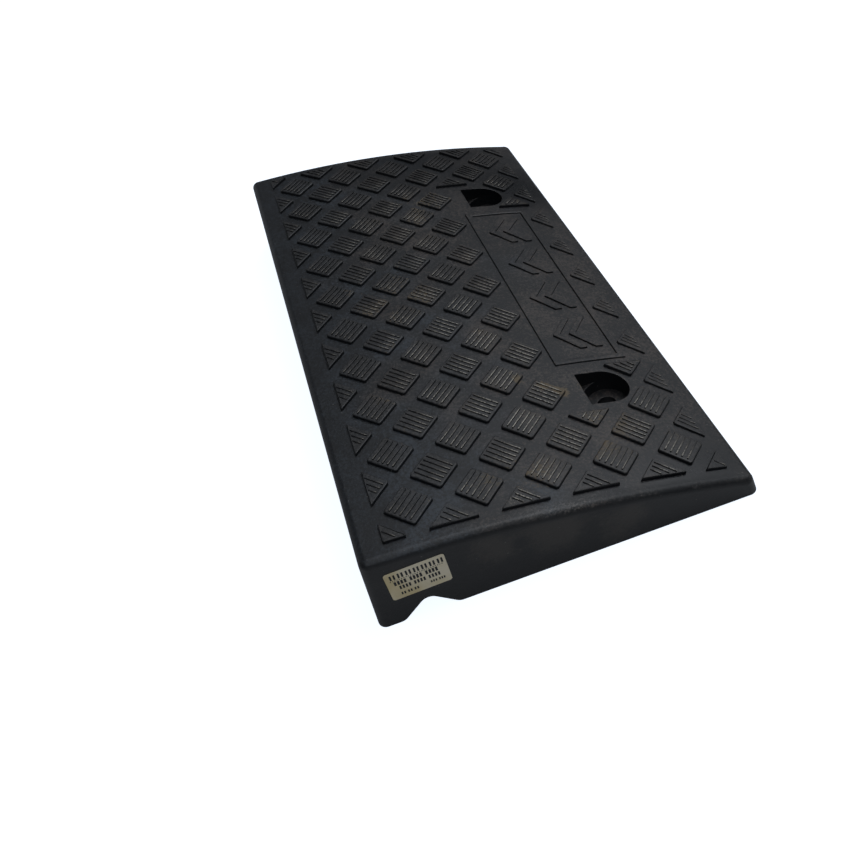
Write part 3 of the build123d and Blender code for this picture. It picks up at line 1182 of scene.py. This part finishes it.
@dataclass
class EndLabel:
    """The label stuck on the leaning end wall, with plain ruled bars for its print."""

    film: LabelFilm
    ink: PrintInk
    node: str = "side_label"
    kerb_x: float = -99.6 * MM
    level: float = 40.4 * MM
    lean: float = math.radians(0.4)
    tilt: float = math.radians(1.4)
    width: float = 40.4 * MM
    height: float = 28.3 * MM
    thickness: float = 0.25 * MM
    corner: float = 2 * MM
    corner_steps: int = 6
    ink_thickness: float = 0.03 * MM
    rows: tuple[PrintRow, ...] = (
        PrintRow(9.0 * MM, (1.3 * MM, 4.8 * MM), 1.1 * MM, -17.0 * MM, 7, 2, 1.6 * MM),
        PrintRow(5.4 * MM, (0.8 * MM, 0.7 * MM), 0.7 * MM, -17.6 * MM, 1, 24),
        PrintRow(2.2 * MM, (1.5 * MM, 4.1 * MM), 0.7 * MM, -15.6 * MM, 3, 4, 2.4 * MM),
        PrintRow(-3.1 * MM, (1.3 * MM, 3.7 * MM), 0.8 * MM, -13.2 * MM, 3, 4, 2.2 * MM),
        PrintRow(-9.4 * MM, (1.1 * MM, 2.7 * MM), 0.7 * MM, -13.5 * MM, 3, 2, 1.5 * MM),
        PrintRow(-8.6 * MM, (1.0 * MM, 2.3 * MM), 0.6 * MM, 6.5 * MM, 2, 3, 1.4 * MM),
    )

    def place(self) -> Matrix:
        """Frame in the middle of the label on the wall, with its z axis pointing out of the wall."""
        low, _ = CAD_BOX
        wall_y = low[1] + self.level * math.tan(self.lean)
        upright = Matrix.Rotation(math.pi / 2 - self.lean, 4, "X")
        tilt = Matrix.Rotation(self.tilt, 4, "Z")
        return Matrix.Translation((self.kerb_x, wall_y, self.level)) @ upright @ tilt

    def add_film(self, shape: Shape) -> None:
        """Adds the film with rounded corners."""
        size = Matrix.Diagonal((self.width, self.height, self.thickness, 1.0))
        bmesh.ops.create_cube(shape, size=1.0, matrix=size)
        upright = [edge for edge in shape.edges
                   if abs(edge.verts[0].co.z - edge.verts[1].co.z) > self.thickness / 2]
        round_edges(shape, upright, self.corner, self.corner_steps)
        bmesh.ops.translate(shape, verts=shape.verts, vec=(0.0, 0.0, self.thickness / 2))

    def add_bars(self, shape: Shape, row: PrintRow) -> None:
        """Adds the bars of one row, standing a little proud of the film."""
        bar_width, bar_height = row.bar
        size = Matrix.Diagonal((bar_width, bar_height, 2 * self.ink_thickness, 1.0))
        for step in range(row.clusters * row.cluster):
            spaces = step // row.cluster * (row.space - row.gap)
            middle = row.left + bar_width / 2 + step * (bar_width + row.gap) + spaces
            place = Matrix.Translation((middle, row.height, self.thickness))
            bmesh.ops.create_cube(shape, size=1.0, matrix=place @ size)

    def build(self) -> list[bpy.types.Object]:
        """Builds and dresses the film and its print."""
        film_shape = bmesh.new()
        self.add_film(film_shape)
        film_shape.transform(self.place())
        film = add_piece("label_film", film_shape, self.film.material())
        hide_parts(self.node)
        print_shape = bmesh.new()
        for row in self.rows:
            self.add_bars(print_shape, row)
        print_shape.transform(self.place())
        bars = add_piece("label_print", print_shape, self.ink.material())
        for piece in (film, bars):
            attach(piece, BODY)
        return [film, bars]


@dataclass(frozen=True)
class SkyGlow:
    """One broad soft glow of the studio sky; degrees from straight ahead and from the floor."""

    azimuth: float
    elevation: float
    strength: float
    tightness: float = 16.0

    def direction(self) -> Vector:
        """Direction from the object to the middle of the glow."""
        turn, rise = math.radians(self.azimuth), math.radians(self.elevation)
        level = math.cos(rise)
        return Vector((math.sin(turn) * level, math.cos(turn) * level, math.sin(rise)))


@dataclass
class Studio:
    """Pale floor, soft light and the camera at the photograph's angle."""

    floor: PaleFloor
    floor_size: float = 8.0
    camera_place: tuple[float, float, float] = (-87.97 * MM, -589.10 * MM, 508.16 * MM)
    azimuth: float = math.radians(3.486)
    elevation: float = math.radians(45.139)
    roll: float = math.radians(-17.036)
    lens: float = 38.365
    sky: Colour = (0.96, 1.0, 1.06, 1.0)
    sky_strength: float = 0.01
    backdrop: float = 1.1
    glows: tuple[SkyGlow, ...] = (
        SkyGlow(60, 52, 3.25),
        SkyGlow(90, 74, 0.65),
        SkyGlow(180, 52, 1.3),
        SkyGlow(20, 52, 0.1),
        SkyGlow(-25, 12, 0.36),
        SkyGlow(-60, 12, 0.15),
        SkyGlow(-90, 45, 0.35),
        SkyGlow(180, 25, 0.15),
        SkyGlow(90, 15, 0.2),
    )

    def lay_floor(self) -> bpy.types.Object:
        """Lays the floor under the object."""
        shape = bmesh.new()
        bmesh.ops.create_grid(shape, x_segments=1, y_segments=1, size=self.floor_size / 2)
        floor = add_piece("studio_floor", shape, self.floor.material())
        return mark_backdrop(floor)

    def paint_sky(self) -> None:
        """Lights the studio with a dim sky and broad glows; the camera sees a pale backdrop instead."""
        world = bpy.data.worlds.new("studio_sky")
        world.use_nodes = True
        sheet = NodeSheet(world.node_tree)
        direction = sheet.add("ShaderNodeTexCoord").outputs["Generated"]
        total = self.sky_strength
        for glow in self.glows:
            turn = sheet.vectors("DOT_PRODUCT", direction, glow.direction())["Value"]
            lobe = sheet.math("POWER", sheet.math("MAXIMUM", turn, 0.0), glow.tightness)
            total = sheet.plus(total, sheet.times(lobe, glow.strength))
        seen = sheet.add("ShaderNodeLightPath").outputs["Is Camera Ray"]
        total = sheet.math("MAXIMUM", total, sheet.times(seen, self.backdrop))
        sky = world.node_tree.nodes["Background"]
        sky.inputs["Color"].default_value = self.sky
        sheet.feed(sky.inputs["Strength"], total)
        bpy.context.scene.world = world

    def set_camera(self) -> None:
        """Sets the camera to the fitted place, turn and lens."""
        level = math.cos(self.elevation)
        north, east = math.cos(self.azimuth), math.sin(self.azimuth)
        ahead = Vector((east * level, north * level, -math.sin(self.elevation)))
        right = Vector((north, -east, 0.0))
        upward = right.cross(ahead)
        rolled_right = right * math.cos(self.roll) + upward * math.sin(self.roll)
        rolled_up = upward * math.cos(self.roll) - right * math.sin(self.roll)
        data = bpy.data.cameras.new("photo_camera")
        data.lens = self.lens
        camera = bpy.data.objects.new("photo_camera", data)
        turn = Matrix((rolled_right, rolled_up, -ahead)).transposed().to_4x4()
        camera.matrix_world = Matrix.Translation(self.camera_place) @ turn
        bpy.context.scene.collection.objects.link(camera)
        bpy.context.scene.camera = camera

    def build(self) -> None:
        """Builds the whole studio."""
        self.lay_floor()
        self.paint_sky()
        self.set_camera()
        bpy.context.scene.view_settings.view_transform = "Standard"


def write_sizes() -> None:
    """Puts the CAD box and the dressed object's box into plain lists, which are not kept."""
    boxes = {"cad": CAD_BOX, "visual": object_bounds()}
    {name: [list(corner) for corner in box] for name, box in boxes.items()}


def main() -> None:
    """Builds every sub-assembly in order and reports its pieces."""
    logging.basicConfig(level=logging.INFO, format="%(name)s: %(message)s")
    deck = DeckArc()
    layout = TreadLayout(deck)
    groups = SurfaceGroups(deck)
    plastic = MouldedPlastic(groups).material()
    pieces = [
        RampMoulding(deck, layout, plastic).build(),
        TreadRibs(deck, layout, plastic).build(),
        PanelChevrons(deck, layout, plastic).build(),
    ]
    pieces += EndLabel(LabelFilm(groups), PrintInk(groups)).build()
    for piece in pieces:
        LOG.info("%s: %d faces", piece.name, len(piece.data.polygons))
    Studio(PaleFloor()).build()
    write_sizes()


if __name__ == "__main__":
    main()
